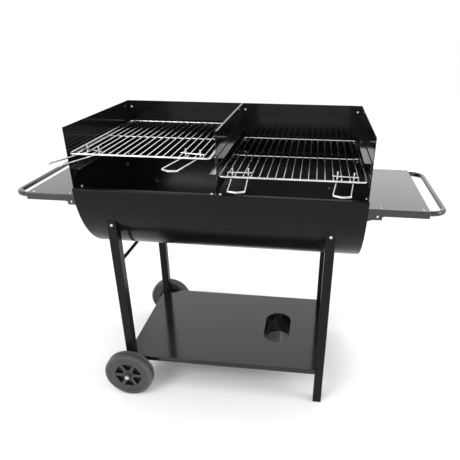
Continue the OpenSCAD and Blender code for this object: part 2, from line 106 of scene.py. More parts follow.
world = bpy.data.worlds.new("white_room")
world.use_nodes = True
world.node_tree.nodes["Background"].inputs["Color"].default_value = (1.0, 1.0, 1.0, 1)
world.node_tree.nodes["Background"].inputs["Strength"].default_value = 1.06
bpy.context.scene.world = world


def soft_box(name, place, target, size, watts):
    light = bpy.data.lights.new(name, "AREA")
    light.shape = "RECTANGLE"
    light.size, light.size_y = size
    light.energy = watts
    lamp = linked(name, light)
    lamp.location = place
    lamp.rotation_euler = (Vector(target) - Vector(place)).to_track_quat("-Z", "Y").to_euler()


soft_box("front_box", place=(-1.6, -2.6, 2.6), target=(0, 0, 0.5), size=(1.6, 1.2), watts=50)
soft_box("right_box", place=(3.0, -0.6, 2.2), target=(0, 0, 0.5), size=(1.2, 1.6), watts=30)
soft_box("back_box", place=(0.6, 5.0, 3.2), target=(0, 0, 0.6), size=(6.0, 2.6), watts=20)

CAMERA_YAW, CAMERA_DIP, CAMERA_ROLL = 7.012, 27.997, 0.322
camera_data = bpy.data.cameras.new("camera")
camera_data.sensor_width = 36.0
camera_data.lens = 36.54
camera_data.shift_x = -0.0565
camera_data.shift_y = 0.0798
camera = linked("camera", camera_data)
camera_turn = (
    Matrix.Rotation(math.radians(CAMERA_YAW), 3, "Z")
    @ Matrix.Rotation(math.radians(90 - CAMERA_DIP), 3, "X")
    @ Matrix.Rotation(math.radians(CAMERA_ROLL), 3, "Z"))
camera.rotation_euler = camera_turn.to_euler()
camera.location = (0.2349, -1.2692, 1.0517)
bpy.context.scene.camera = camera
bpy.context.scene.view_settings.view_transform = "Standard"

# ---------------------------------------------------------------- legs
# Four lengths of square steel tube with rolled corners, painted satin black and coped to the trough.
# The two left ones are short, for the axle, and each ends in a moulded plastic cap.


def ranged(nodes, links, value, low, high, from_low=0.3, from_high=0.7):
    spread = nodes.new("ShaderNodeMapRange")
    spread.inputs["From Min"].default_value = from_low
    spread.inputs["From Max"].default_value = from_high
    spread.inputs["To Min"].default_value = low
    spread.inputs["To Max"].default_value = high
    links.new(value, spread.inputs["Value"])
    return spread.outputs["Result"]


def raised(nodes, links, height, distance, below=None):
    bump = nodes.new("ShaderNodeBump")
    bump.inputs["Strength"].default_value = 1.0
    bump.inputs["Distance"].default_value = distance
    links.new(height, bump.inputs["Height"])
    if below is not None:
        links.new(below, bump.inputs["Normal"])
    return bump.outputs["Normal"]


def enamel(name, roughness, shine, coat, wave, peel=0.000012):
    """Black stoving paint: long waves of the sheet, fine orange peel, wiped-over haze and a little dust."""
    material, nodes, links, shader = node_material(name)
    haze = object_noise(nodes, links, scale=9.0, detail=5.0)
    dust = object_noise(nodes, links, scale=900.0, detail=2.0)
    speck = ranged(nodes, links, dust, low=0.0, high=1.0, from_low=0.66, from_high=0.8)
    tone = tinted(nodes, links, speck, (0.005, 0.005, 0.006), (0.03, 0.03, 0.03))
    links.new(tone, shader.inputs["Base Color"])
    links.new(ranged(nodes, links, haze, roughness * 0.75, roughness * 1.35), shader.inputs["Roughness"])
    sheet_waves = object_noise(nodes, links, scale=4.5, detail=1.0)
    orange_peel = object_noise(nodes, links, scale=420.0, detail=1.0)
    surface = raised(nodes, links, orange_peel, peel, below=raised(nodes, links, sheet_waves, wave))
    links.new(surface, shader.inputs["Normal"])
    links.new(surface, shader.inputs["Coat Normal"])
    shader.inputs["Specular IOR Level"].default_value = shine
    shader.inputs["Coat Weight"].default_value = coat
    shader.inputs["Coat Roughness"].default_value = 0.04
    return material


def moulded(name, tone, roughness):
    """Moulded plastic with a fine spark-eroded grain and slightly uneven shine."""
    material, nodes, links, shader = node_material(name)
    patch = object_noise(nodes, links, scale=25.0, detail=4.0)
    grain = object_noise(nodes, links, scale=1500.0, detail=2.0)
    dark = tuple(c * 0.8 for c in tone)
    light = tuple(c * 1.25 for c in tone)
    links.new(tinted(nodes, links, patch, dark, light), shader.inputs["Base Color"])
    links.new(ranged(nodes, links, patch, roughness * 0.85, roughness * 1.15), shader.inputs["Roughness"])
    links.new(raised(nodes, links, grain, distance=0.00006), shader.inputs["Normal"])
    return material


def shown(name, mesh, material, slot, body, *nodes_replaced):
    """Puts a finished mesh in the scene as one piece of the trolley."""
    piece = linked(name, mesh)
    mesh.materials.clear()
    mesh.materials.append(material)
    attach(piece, body)
    if nodes_replaced:
        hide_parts(*nodes_replaced)
    return piece


def applied(holder):
    """The mesh that an object's modifiers make; the object is then taken away."""
    depsgraph = bpy.context.evaluated_depsgraph_get()
    result = bpy.data.meshes.new_from_object(
        holder.evaluated_get(depsgraph), preserve_all_data_layers=True, depsgraph=depsgraph)
    bpy.data.objects.remove(holder)
    return result


SHARP_ANGLE = math.radians(40)


def dressed(mesh, bevel=0.0003, segments=2):
    """Breaks the sharp edges of a mesh and gives its flat faces even shading."""
    holder = linked("holder", mesh)
    for polygon in mesh.polygons:
        polygon.use_smooth = True
    if bevel:
        rounding = holder.modifiers.new("edges", "BEVEL")
        rounding.width = bevel
        rounding.segments = segments
        rounding.limit_method = "ANGLE"
        rounding.angle_limit = SHARP_ANGLE
        rounding.miter_outer = "MITER_ARC"
    even = holder.modifiers.new("shading", "WEIGHTED_NORMAL")
    even.keep_sharp = True
    return applied(holder)


WELD = 0.00001
FLAT_ANGLE = math.radians(0.4)
FOLD_ANGLE = math.radians(60)
CUT_WIDTH = 0.0031


def merged_copy(node):
    """A CAD piece as a joined-up mesh with whole flat faces."""
    bm = bmesh.new()
    bm.from_mesh(frame["nodes"][node].data)
    bmesh.ops.remove_doubles(bm, verts=bm.verts, dist=WELD)
    bmesh.ops.dissolve_limit(bm, angle_limit=FLAT_ANGLE, verts=bm.verts, edges=bm.edges)
    return bm


def folded(node, fold, bevel=0.0003):
    """A CAD piece of folded sheet or tube, with its folds rounded and its cut edges broken."""
    bm = merged_copy(node)

    def wide(face):
        longest = max(edge.calc_length() for edge in face.edges)
        return face.calc_area() / longest > CUT_WIDTH

    folds = [
        edge for edge in bm.edges
        if len(edge.link_faces) == 2 and edge.is_convex and edge.calc_face_angle() > FOLD_ANGLE
        and all(wide(face) for face in edge.link_faces)]
    if folds and fold:
        bmesh.ops.bevel(
            bm, geom=folds, offset=fold, offset_type="OFFSET", segments=4, profile=0.5,
            affect="EDGES", clamp_overlap=True)
    mesh = bpy.data.meshes.new(node + "_shape")
    bm.to_mesh(mesh)
    bm.free()
    return dressed(mesh, bevel)


SIDES = ("left", "right")
ENDS = ("front", "back")
satin_black = enamel("satin_black", roughness=0.3, shine=0.14, coat=0.0, wave=0.0002, peel=0.00002)
cap_plastic = moulded("cap_plastic", (0.02, 0.02, 0.021), 0.5)
for side in SIDES:
    for end in ENDS:
        shown(f"{end}_{side}_leg", folded(f"leg_{end}_{side}", 0.0026), satin_black, "satin_enamel",
              "trolley", f"leg_{end}_{side}")
        shown(f"{end}_{side}_cap", folded(f"cap_{end}_{side}", 0.0015, 0.0004), cap_plastic, "foot_plastic",
              "trolley", f"cap_{end}_{side}")

# ---------------------------------------------------------------- axle and wheels
# A zinc-plated rod through the left legs carries two moulded wheels: a ribbed tread in two rows,
# a shallow dished face with six pockets, and a black bush and a lock nut on the rod's end.


def object_parts(nodes, links):
    """The X, Y and Z of a point on the piece."""
    place = nodes.new("ShaderNodeTexCoord")
    parts = nodes.new("ShaderNodeSeparateXYZ")
    links.new(place.outputs["Object"], parts.inputs["Vector"])
    return parts.outputs["X"], parts.outputs["Y"], parts.outputs["Z"]


def maths(nodes, links, operation, first, second=0.0):
    node = nodes.new("ShaderNodeMath")
    node.operation = operation
    for socket, value in zip(node.inputs, (first, second)):
        if isinstance(value, (int, float)):
            socket.default_value = value
        else:
            links.new(value, socket)
    return node.outputs["Value"]


def blended(nodes, links, socket, share, colour):
    """Blends the colour that a socket already has towards another one."""
    mix = nodes.new("ShaderNodeMix")
    mix.data_type = "RGBA"
    first, second = [item for item in mix.inputs if item.type == "RGBA"]
    blend = next(item for item in mix.outputs if item.type == "RGBA")
    links.new(share, mix.inputs["Factor"])
    links.new(socket.links[0].from_socket, first)
    second.default_value = (*colour, 1)
    links.new(blend, socket)


def zinc_plate():
    material, nodes, links, shader = node_material("zinc_plate")
    grain = object_noise(nodes, links, scale=700.0, detail=4.0)
    links.new(tinted(nodes, links, grain, (0.5, 0.5, 0.5), (0.72, 0.72, 0.71)), shader.inputs["Base Color"])
    shader.inputs["Metallic"].default_value = 1.0
    links.new(ranged(nodes, links, grain, low=0.22, high=0.4), shader.inputs["Roughness"])
    links.new(raised(nodes, links, grain, distance=0.00003), shader.inputs["Normal"])
    return material


def lofted(bm, rings):
    """Joins rings of vertices one after another and closes both ends."""
    count = len(rings[0])
    for ring, after in zip(rings, rings[1:]):
        for k in range(count):
            n = (k + 1) % count
            bm.faces.new((ring[k], ring[n], after[n], after[k]))
    bm.faces.new(list(reversed(rings[0])))
    bm.faces.new(rings[-1])


def tube(path, radius, sides=14, trim=0.35):
    """A closed round tube along a path, with its two ends slightly domed."""
    count = len(path)
    tangents = [(path[min(i + 1, count - 1)] - path[max(i - 1, 0)]).normalized() for i in range(count)]
    tip_radius = 0.7 * radius
    stations = [(path[0] - tangents[0] * radius * trim, tangents[0], tip_radius)]
    stations += [(point, tangent, radius) for point, tangent in zip(path, tangents)]
    stations += [(path[-1] + tangents[-1] * radius * trim, tangents[-1], tip_radius)]
    turns = [2 * math.pi * k / sides for k in range(sides)]
    bm = bmesh.new()
    rings = []
    across = tangents[0].orthogonal()
    for point, tangent, reach in stations:
        across = (across - across.project(tangent)).normalized()
        up = tangent.cross(across)
        rings.append([bm.verts.new(point + reach * (math.cos(a) * across + math.sin(a) * up)) for a in turns])
    lofted(bm, rings)
    return bm


def meshed(name, *parts):
    """One mesh from one or more bmeshes."""
    whole = bmesh.new()
    for part in parts:
        step = bpy.data.meshes.new("step")
        part.to_mesh(step)
        part.free()
        whole.from_mesh(step)
        bpy.data.meshes.remove(step)
    bmesh.ops.recalc_face_normals(whole, faces=whole.faces)
    mesh = bpy.data.meshes.new(name)
    whole.to_mesh(mesh)
    whole.free()
    return mesh


def turned(outline, place, steps=96):
    """A closed outline of (radius, along) points turned about the Y axis through place."""
    bm = bmesh.new()
    rings = []
    for k in range(steps):
        a = 2 * math.pi * k / steps
        rings.append([
            bm.verts.new(place + Vector((r * math.cos(a), along, r * math.sin(a)))) for r, along in outline])
    count = len(outline)
    for k in range(steps):
        ring, after = rings[k], rings[(k + 1) % steps]
        for i in range(count):
            j = (i + 1) % count
            bm.faces.new((ring[i], ring[j], after[j], after[i]))
    return bm


def tree_with(name, inputs):
    """A Geometry Nodes tree with a geometry in and out, and these named inputs."""
    tree = bpy.data.node_groups.new(name, "GeometryNodeTree")
    tree.interface.new_socket(name="Geometry", in_out="INPUT", socket_type="NodeSocketGeometry")
    sockets = {}
    for label, kind in inputs.items():
        sockets[label] = tree.interface.new_socket(name=label, in_out="INPUT", socket_type=kind).identifier
    tree.interface.new_socket(name="Geometry", in_out="OUTPUT", socket_type="NodeSocketGeometry")
    return tree, sockets, tree.nodes.new("NodeGroupInput"), tree.nodes.new("NodeGroupOutput")


def grown(tree, sockets, values, base=None):
    """The plain mesh that a tree makes from a base mesh and these input values."""
    holder = linked("holder", base or bpy.data.meshes.new("seed"))
    modifier = holder.modifiers.new("tree", "NODES")
    modifier.node_group = tree
    for label, value in values.items():
        modifier[sockets[label]] = value
    return applied(holder)


def painted_result(tree, given, result, copies):
    """Makes the copies real, gives them the tree's material and sends them out of it."""
    real = tree.nodes.new("GeometryNodeRealizeInstances")
    paint = tree.nodes.new("GeometryNodeSetMaterial")
    tree.links.new(copies, real.inputs["Geometry"])
    tree.links.new(real.outputs["Geometry"], paint.inputs["Geometry"])
    tree.links.new(given.outputs["Material"], paint.inputs["Material"])
    tree.links.new(paint.outputs["Geometry"], result.inputs["Geometry"])


def repeated_about_axle():
    """Copies of one tread rib, each turned to face out from the axle."""
    tree, sockets, given, result = tree_with("tread_ribs", {
        "Count": "NodeSocketInt", "Rib": "NodeSocketObject", "Material": "NodeSocketMaterial"})
    nodes, links = tree.nodes, tree.links
    ring = nodes.new("GeometryNodeMeshCircle")
    ring.inputs["Radius"].default_value = 1.0
    links.new(given.outputs["Count"], ring.inputs["Vertices"])
    where = nodes.new("GeometryNodeInputPosition")
    turn = nodes.new("FunctionNodeAlignRotationToVector")
    turn.axis = "X"
    links.new(where.outputs["Position"], turn.inputs["Vector"])
    rib = nodes.new("GeometryNodeObjectInfo")
    links.new(given.outputs["Rib"], rib.inputs["Object"])
    copies = nodes.new("GeometryNodeInstanceOnPoints")
    links.new(ring.outputs["Mesh"], copies.inputs["Points"])
    links.new(rib.outputs["Geometry"], copies.inputs["Instance"])
    links.new(turn.outputs["Rotation"], copies.inputs["Rotation"])
    centre = nodes.new("GeometryNodeSetPosition")
    back = nodes.new("ShaderNodeVectorMath")
    back.operation = "SCALE"
    back.inputs["Scale"].default_value = -1.0
    links.new(where.outputs["Position"], back.inputs[0])
    links.new(copies.outputs["Instances"], centre.inputs["Geometry"])
    links.new(back.outputs["Vector"], centre.inputs["Offset"])
    painted_result(tree, given, result, centre.outputs["Geometry"])
    return tree, sockets


zinc = zinc_plate()
# Painted highlight: the tread ribs get a lighter grey than the near-black wheel body, standing in for light
# on the rib tops.
tread_plastic = moulded("tread_plastic", (0.13, 0.13, 0.135), 0.4)
bush_plastic = moulded("bush_plastic", (0.008, 0.008, 0.008), 0.4)
axle_low, axle_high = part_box("axle")
axle_x = (axle_low[0] + axle_high[0]) / 2
axle_z = (axle_low[2] + axle_high[2]) / 2
AXLE_RADIUS = (axle_high[2] - axle_low[2]) / 2
TIP_ROOM = 0.001
axle_ends = [Vector((axle_x, y, axle_z)) for y in (axle_low[1] + TIP_ROOM, axle_high[1] - TIP_ROOM)]
axle_rod = tube(axle_ends, AXLE_RADIUS, sides=32, trim=0.15)
shown("axle_rod", dressed(meshed("axle_rod", axle_rod)), zinc, "zinc", "trolley", "axle")

RIBS = 72
RIB_ROOT = 0.005
RIB_FOOT, RIB_TOP = 0.0021, 0.0015
WINDOWS = 6
WINDOW_BEND = 0.003
RUNNING_GAP = 0.00005
HUB_RADIUS, HUB_LIP = 0.0124, 0.0018
BEAD_IN, BEAD_OUT, BEAD = 0.046, 0.053, 0.0009
WHEEL_HALF = 0.017
BUSH_BORE, BUSH_RADIUS, BUSH_LENGTH, BUSH_CHAMFER = 0.0045, 0.0112, 0.0024, 0.0008
BUSH_GAP = 0.0005
TREAD_DEPTH = 0.0034
FACE_RECESS = 0.003
MIDDLE_WEB = 0.002
WINDOW_IN, WINDOW_OUT, SPOKE = 0.018, 0.040, 0.011


def wheel_outline(radius, half):
    """The closed cross-section of a wheel from its bore to its tread."""
    bore = AXLE_RADIUS + RUNNING_GAP
    tread = radius - TREAD_DEPTH
    dish = half - FACE_RECESS
    hub_end = half + HUB_LIP
    front = [
        (bore, hub_end), (HUB_RADIUS - 0.0009, hub_end), (HUB_RADIUS, hub_end - 0.001), (HUB_RADIUS, dish),
        (BEAD_IN, dish), (BEAD_IN + 0.0025, dish + BEAD), (BEAD_OUT - 0.002, dish + BEAD), (BEAD_OUT, dish),
        (radius - 0.013, dish), (radius - 0.0105, half - 0.001), (radius - 0.008, half),
        (tread - 0.0025, half - 0.0005), (tread - 0.0006, half - 0.003), (tread, half - 0.006),
        (tread, 0.0022), (radius - 0.0003, 0.0011)]
    return front + [(r, -along) for r, along in reversed(front)]


def window_cutters(place, half):
    """Prisms with rounded corners for the pockets in both faces, which leave a web between them."""
    bm = bmesh.new()
    slope = math.tan(math.pi / WINDOWS)
    corners = [(WINDOW_IN, SPOKE / 2 - WINDOW_IN * slope), (WINDOW_OUT, SPOKE / 2 - WINDOW_OUT * slope)]
    corners += [(r, -t) for r, t in reversed(corners)]
    for k in range(WINDOWS):
        spin = Matrix.Rotation(2 * math.pi * (k + 0.5) / WINDOWS, 3, "Y")
        for sign in (-1, 1):
            rings = []
            for along in (sign * MIDDLE_WEB, sign * (half + 0.01)):
                rings.append([bm.verts.new(place + spin @ Vector((r, along, t))) for r, t in corners])
            lofted(bm, rings)
    upright = [edge for edge in bm.edges if abs((edge.verts[0].co - edge.verts[1].co).normalized().y) > 0.9]
    bmesh.ops.bevel(
        bm, geom=upright, offset=WINDOW_BEND, offset_type="OFFSET", segments=4, profile=0.5, affect="EDGES")
    return bm


def tread_rib(radius, half):
    """A tread rib in two halves, one on each side of the middle ridge, running down over the shoulder."""
    bm = bmesh.new()
    stations = [(0.003, radius), (half - 0.005, radius - 0.0002), (half - 0.0018, radius - 0.0022),
                (half - 0.0006, radius - 0.0058)]
    for sign in (-1, 1):
        rings = []
        for along, top in stations:
            root = top - RIB_ROOT
            section = ((root, -RIB_FOOT), (top, -RIB_TOP), (top, RIB_TOP), (root, RIB_FOOT))
            rings.append([bm.verts.new(Vector((r, t, sign * along))) for r, t in section])
        lofted(bm, rings)
    return bm


def wheel_plastic(name, middle, radius, half):
    """Moulded plastic with painted shade: darker inside the pockets and between the tread ribs."""
    material = moulded(name, (0.036, 0.036, 0.038), 0.5)
    nodes, links = material.node_tree.nodes, material.node_tree.links
    shader = nodes["Principled BSDF"]
    x, y, z = object_parts(nodes, links)
    across = maths(nodes, links, "SUBTRACT", x, middle.x)
    above = maths(nodes, links, "SUBTRACT", z, middle.z)
    across_squared = maths(nodes, links, "MULTIPLY", across, across)
    above_squared = maths(nodes, links, "MULTIPLY", above, above)
    squares = maths(nodes, links, "ADD", across_squared, above_squared)
    within = maths(nodes, links, "LESS_THAN", squares, (WINDOW_OUT + 0.001) ** 2)
    depth = maths(nodes, links, "ABSOLUTE", maths(nodes, links, "SUBTRACT", y, middle.y))
    deep = ranged(nodes, links, depth, 1.0, 0.0, half - 2.5 * FACE_RECESS, half - FACE_RECESS - 0.0006)
    between_ribs = maths(nodes, links, "GREATER_THAN", squares, (radius - TREAD_DEPTH - 0.001) ** 2)
    # Painted shade: the pockets and the body between the tread ribs are blended towards near black.
    recess_shade = maths(nodes, links, "MAXIMUM", maths(nodes, links, "MULTIPLY", within, deep), between_ribs)
    blended(nodes, links, shader.inputs["Base Color"], recess_shade, (0.002, 0.002, 0.002))
    return material


def cut_by(mesh, cutter):
    """A mesh less another one."""
    holder = linked("holder", mesh)
    tool = linked("tool", cutter)
    cut = holder.modifiers.new("cut", "BOOLEAN")
    cut.object = tool
    cut.solver = "EXACT"
    result = applied(holder)
    bpy.data.objects.remove(tool)
    return result


rib_tree, rib_sockets = repeated_about_axle()
for end in ENDS:
    low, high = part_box(f"wheel_{end}")
    middle = Vector((axle_x, (low[1] + high[1]) / 2, axle_z))
    wheel_radius = (high[0] - low[0]) / 2
    body = cut_by(meshed("wheel_body", turned(wheel_outline(wheel_radius, WHEEL_HALF), middle)),
                  meshed("windows", window_cutters(middle, WHEEL_HALF)))
    plastic = wheel_plastic(f"{end}_wheel_plastic", middle, wheel_radius, WHEEL_HALF)
    shown(f"{end}_wheel_body", dressed(body, 0.0006), plastic, "wheel_plastic",
          f"{end}_wheel", f"wheel_{end}")
    rib = linked("rib", meshed("rib", tread_rib(wheel_radius, WHEEL_HALF)))
    ribs = grown(rib_tree, rib_sockets, {"Count": RIBS, "Rib": rib, "Material": tread_plastic})
    bpy.data.objects.remove(rib)
    ribs.transform(Matrix.Translation(middle) @ Matrix.Rotation(math.pi / 2, 4, "X"))
    shown(f"{end}_wheel_tread", dressed(ribs, 0.0), tread_plastic, "wheel_plastic", f"{end}_wheel")
    sign = -1 if end == "front" else 1
    seat = Vector((axle_x, middle.y + sign * (WHEEL_HALF + HUB_LIP + BUSH_GAP), axle_z))
    bush = [(BUSH_BORE, 0), (BUSH_RADIUS, 0), (BUSH_RADIUS, BUSH_LENGTH - BUSH_CHAMFER),
            (BUSH_RADIUS - BUSH_CHAMFER, BUSH_LENGTH), (BUSH_BORE, BUSH_LENGTH)]
    ring = turned([(r, sign * along) for r, along in bush], seat, 48)
    shown(f"{end}_axle_bush", dressed(meshed("bush", ring), 0.0), bush_plastic, "wheel_plastic", "trolley")

shown("axle_lock_nuts", dressed(meshed("axle_nuts", merged_copy("axle_nuts")), 0.0004), zinc, "zinc",
      "trolley", "axle_nuts")

# ---------------------------------------------------------------- bottom shelf and stretchers
# One sheet with its four edges folded down, notched round the legs and bolted to them by its tabs.
# Two rods brace the pairs of legs just under the trough.

shelf_black = enamel("shelf_black", roughness=0.13, shine=0.35, coat=0.2, wave=0.0006)
shown("shelf_sheet", folded("shelf", 0.003), shelf_black, "gloss_enamel", "trolley", "shelf")
for side in SIDES:
    low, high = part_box(f"stretcher_{side}")
    rod_radius = (high[0] - low[0]) / 2
    x, z = (low[0] + high[0]) / 2, (low[2] + high[2]) / 2
    rod = tube([Vector((x, y, z)) for y in (low[1] + TIP_ROOM, high[1] - TIP_ROOM)], rod_radius, 20, 0.3)
    shown(f"{side}_stretcher_rod", dressed(meshed("rod", rod), 0.0), satin_black, "satin_enamel",
          "trolley", f"stretcher_{side}")

# ---------------------------------------------------------------- shelf well
# A deep pan for bottles, drawn from sheet, that hangs from its flange under the hole in the shelf.
# A film of pale ash lies on its floor.


def pan(outline, centre, half_width, half_straight, steps=40):
    """Turns an outline of (inset, z) points round an oblong and closes it at both of its ends."""
    bm = bmesh.new()
    rings = []
    for inset, z in outline:
        ring = []
        for sign in (1, -1):
            for k in range(steps + 1):
                a = math.pi * k / steps
                across = sign * math.cos(a) * (half_width - inset)
                along = sign * (math.sin(a) * (half_width - inset) + half_straight)
                ring.append(bm.verts.new((centre.x + across, centre.y + along, z)))
        rings.append(ring)
    lofted(bm, rings)
    return bm


def ash_on_floor(material, floor_z, coat):
    """Lays a film of pale ash on a pan's floor, which hides the colour and the gloss under it."""
    nodes, links = material.node_tree.nodes, material.node_tree.links
    shader = nodes["Principled BSDF"]
    height = object_parts(nodes, links)[2]
    ash = ranged(nodes, links, height, 1.0, 0.0, floor_z + 0.0004, floor_z + 0.003)
    blended(nodes, links, shader.inputs["Base Color"], ash, (0.3, 0.3, 0.31))
    dulled = maths(nodes, links, "MULTIPLY", ash, coat)
    links.new(maths(nodes, links, "SUBTRACT", coat, dulled), shader.inputs["Coat Weight"])


SHEET = 0.0015
PAN_FLANGE = 0.008
PAN_CORNER = 0.006
PAN_RIM = 0.0004
PAN_COAT = 0.8
low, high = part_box("shelf_well")
middle = Vector(((low[0] + high[0]) / 2, (low[1] + high[1]) / 2))
pan_half_width = (high[0] - low[0]) / 2 - PAN_FLANGE
pan_straight = (high[1] - low[1]) / 2 - PAN_FLANGE - pan_half_width
bends = [math.radians(a) for a in (90, 60, 30, 0)]
inner_radius = PAN_CORNER - SHEET
bend_z = low[2] + PAN_CORNER
inside = [(PAN_CORNER - inner_radius * math.cos(a), bend_z - inner_radius * math.sin(a)) for a in bends]
outside = [(PAN_CORNER * (1 - math.cos(a)), bend_z - PAN_CORNER * math.sin(a)) for a in reversed(bends)]
pan_outline = inside + [
    (SHEET, high[2] - PAN_RIM), (SHEET - PAN_RIM, high[2]), (-PAN_FLANGE, high[2]),
    (-PAN_FLANGE, high[2] - SHEET), (0, high[2] - SHEET)] + outside
well_black = enamel("well_black", roughness=0.08, shine=0.6, coat=PAN_COAT, wave=0.0003)
ash_on_floor(well_black, low[2] + SHEET, PAN_COAT)
shown("well_pan", dressed(meshed("pan", pan(pan_outline, middle, pan_half_width, pan_straight))), well_black,
      "gloss_enamel", "trolley", "shelf_well")

# ---------------------------------------------------------------- trough
# A half-round shell of rolled sheet, its front and back rims folded in, closed by a flat plate
# at each end. Stoved black inside and out.

BEND = 0.003


def sheet_along(path, thickness, start, stop, place):
    """Sheet that follows a path of (u, v) points and runs from start to stop. place maps (u, v, w)."""
    count = len(path)
    edges = [[], []]
    for i, point in enumerate(path):
        along = (path[min(i + 1, count - 1)] - path[max(i - 1, 0)]).normalized()
        normal = Vector((-along.y, along.x))
        edges[0].append(point + normal * thickness / 2)
        edges[1].append(point - normal * thickness / 2)
    loop = edges[0] + list(reversed(edges[1]))
    bm = bmesh.new()
    rings = [[bm.verts.new(place(p.x, p.y, w)) for p in loop] for w in (start, stop)]
    total = len(loop)
    for i in range(total):
        j = (i + 1) % total
        bm.faces.new((rings[0][i], rings[0][j], rings[1][j], rings[1][i]))
    for ring in rings:
        for i in range(count - 1):
            bm.faces.new((ring[i], ring[i + 1], ring[total - 2 - i], ring[total - 1 - i]))
    return bm


def arc(centre, radius, start, stop, steps):
    """Points round part of a circle, with its angles in degrees."""
    turns = [math.radians(start + (stop - start) * k / steps) for k in range(steps + 1)]
    return [centre + radius * Vector((math.cos(a), math.sin(a))) for a in turns]


low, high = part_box("trough")
trough_y = (low[1] + high[1]) / 2
rim_z = high[2]
shell_radius = (high[1] - low[1]) / 2 - SHEET / 2
RIM_FLANGE = 0.014
dip = math.degrees(math.asin((SHEET / 2 + BEND) / shell_radius))
rim_level = rim_z - SHEET / 2
profile = [Vector((trough_y - shell_radius - SHEET / 2 + RIM_FLANGE, rim_level))]
profile += arc(Vector((trough_y - shell_radius + BEND, rim_level - BEND)), BEND, 90, 180, 6)
profile += arc(Vector((trough_y, rim_z)), shell_radius, 180 + dip, 360 - dip, 144)
profile += arc(Vector((trough_y + shell_radius - BEND, rim_level - BEND)), BEND, 0, 90, 6)
profile += [Vector((trough_y + shell_radius + SHEET / 2 - RIM_FLANGE, rim_level))]
trough_black = enamel("trough_black", roughness=0.24, shine=0.13, coat=0.0, wave=0.0004)
shell = sheet_along(profile, SHEET, low[0], high[0], lambda y, z, x: Vector((x, y, z)))
shown("trough_shell", dressed(meshed("trough_shell", shell)), trough_black, "gloss_enamel",
      "trolley", "trough")
for side in SIDES:
    shown(f"{side}_end_plate", folded(f"end_plate_{side}", 0.0, 0.0004), trough_black, "gloss_enamel",
          "trolley", f"end_plate_{side}")

# ---------------------------------------------------------------- wind guard
# Four flat sheets: a back, two sides whose skirts reach into the trough, and a divider with feet.
# Their edges are folded where they are bolted together.

guard_black = enamel("guard_black", roughness=0.1, shine=0.22, coat=0.0, wave=0.0005)
for name in ("back_panel", "divider", "side_panel_left", "side_panel_right"):
    shown(name + "_sheet", folded(name, 0.0012), guard_black, "gloss_enamel", "trolley", name)

# ---------------------------------------------------------------- rails
# Eight strips of sheet bent to an L and spot-welded to the guard's inner faces at two heights. The
# grates slide on their flat legs, one grate on the upper level and the other on the lower one.

RAIL_BEND = 0.0015
gloss_black = enamel("gloss_black", roughness=0.09, shine=0.5, coat=0.6, wave=0.0005)
for seat in ("outer_left", "inner_left", "inner_right", "outer_right"):
    turn = 1 if seat in ("outer_left", "inner_right") else -1
    for level in ("low", "high"):
        low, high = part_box(f"rail_{seat}_{level}")
        wall = low[0] if turn > 0 else high[0]
        width = high[0] - low[0]
        corner = Vector((wall + turn * SHEET / 2, high[2] - SHEET / 2))
        centre = corner + Vector((turn * RAIL_BEND, -RAIL_BEND))
        bend = arc(centre, RAIL_BEND, 180 if turn > 0 else 0, 90, 4)
        strip = [Vector((corner.x, low[2]))] + bend + [Vector((wall + turn * width, corner.y))]
        mesh = meshed("rail", sheet_along(strip, SHEET, low[1], high[1], lambda x, z, y: Vector((x, y, z))))
        shown(f"{seat}_{level}_rail", dressed(mesh), gloss_black, "gloss_enamel",
              "trolley", f"rail_{seat}_{level}")

# ---------------------------------------------------------------- grates
# Chrome-plated wire: a thick edge wire bent to a rounded oblong, thinner wires welded across it,
# and a cross wire under them whose ends rise to the edge wire.


def chrome_plate():
    material, nodes, links, shader = node_material("chrome_plate")
    bloom = object_noise(nodes, links, scale=60.0, detail=4.0)
    pits = object_noise(nodes, links, scale=500.0, detail=2.0)
    links.new(tinted(nodes, links, bloom, (0.55, 0.56, 0.58), (0.78, 0.79, 0.8)), shader.inputs["Base Color"])
    shader.inputs["Metallic"].default_value = 1.0
    links.new(ranged(nodes, links, bloom, low=0.08, high=0.2), shader.inputs["Roughness"])
    links.new(raised(nodes, links, pits, distance=0.00003), shader.inputs["Normal"])
    return material


def rounded(corners, radius, steps=6):
    """The path through these corners, each one turned into an arc of this radius."""
    path = [corners[0]]
    for before, corner, after in zip(corners, corners[1:], corners[2:]):
        back, on = (before - corner).normalized(), (after - corner).normalized()
        half = back.angle(on) / 2
        centre = corner + (back + on).normalized() * radius / math.sin(half)
        start = (corner + back * radius / math.tan(half) - centre).normalized()
        stop = (corner + on * radius / math.tan(half) - centre).normalized()
        path += [centre + radius * start.slerp(stop, k / steps) for k in range(steps + 1)]
    return path + [corners[-1]]


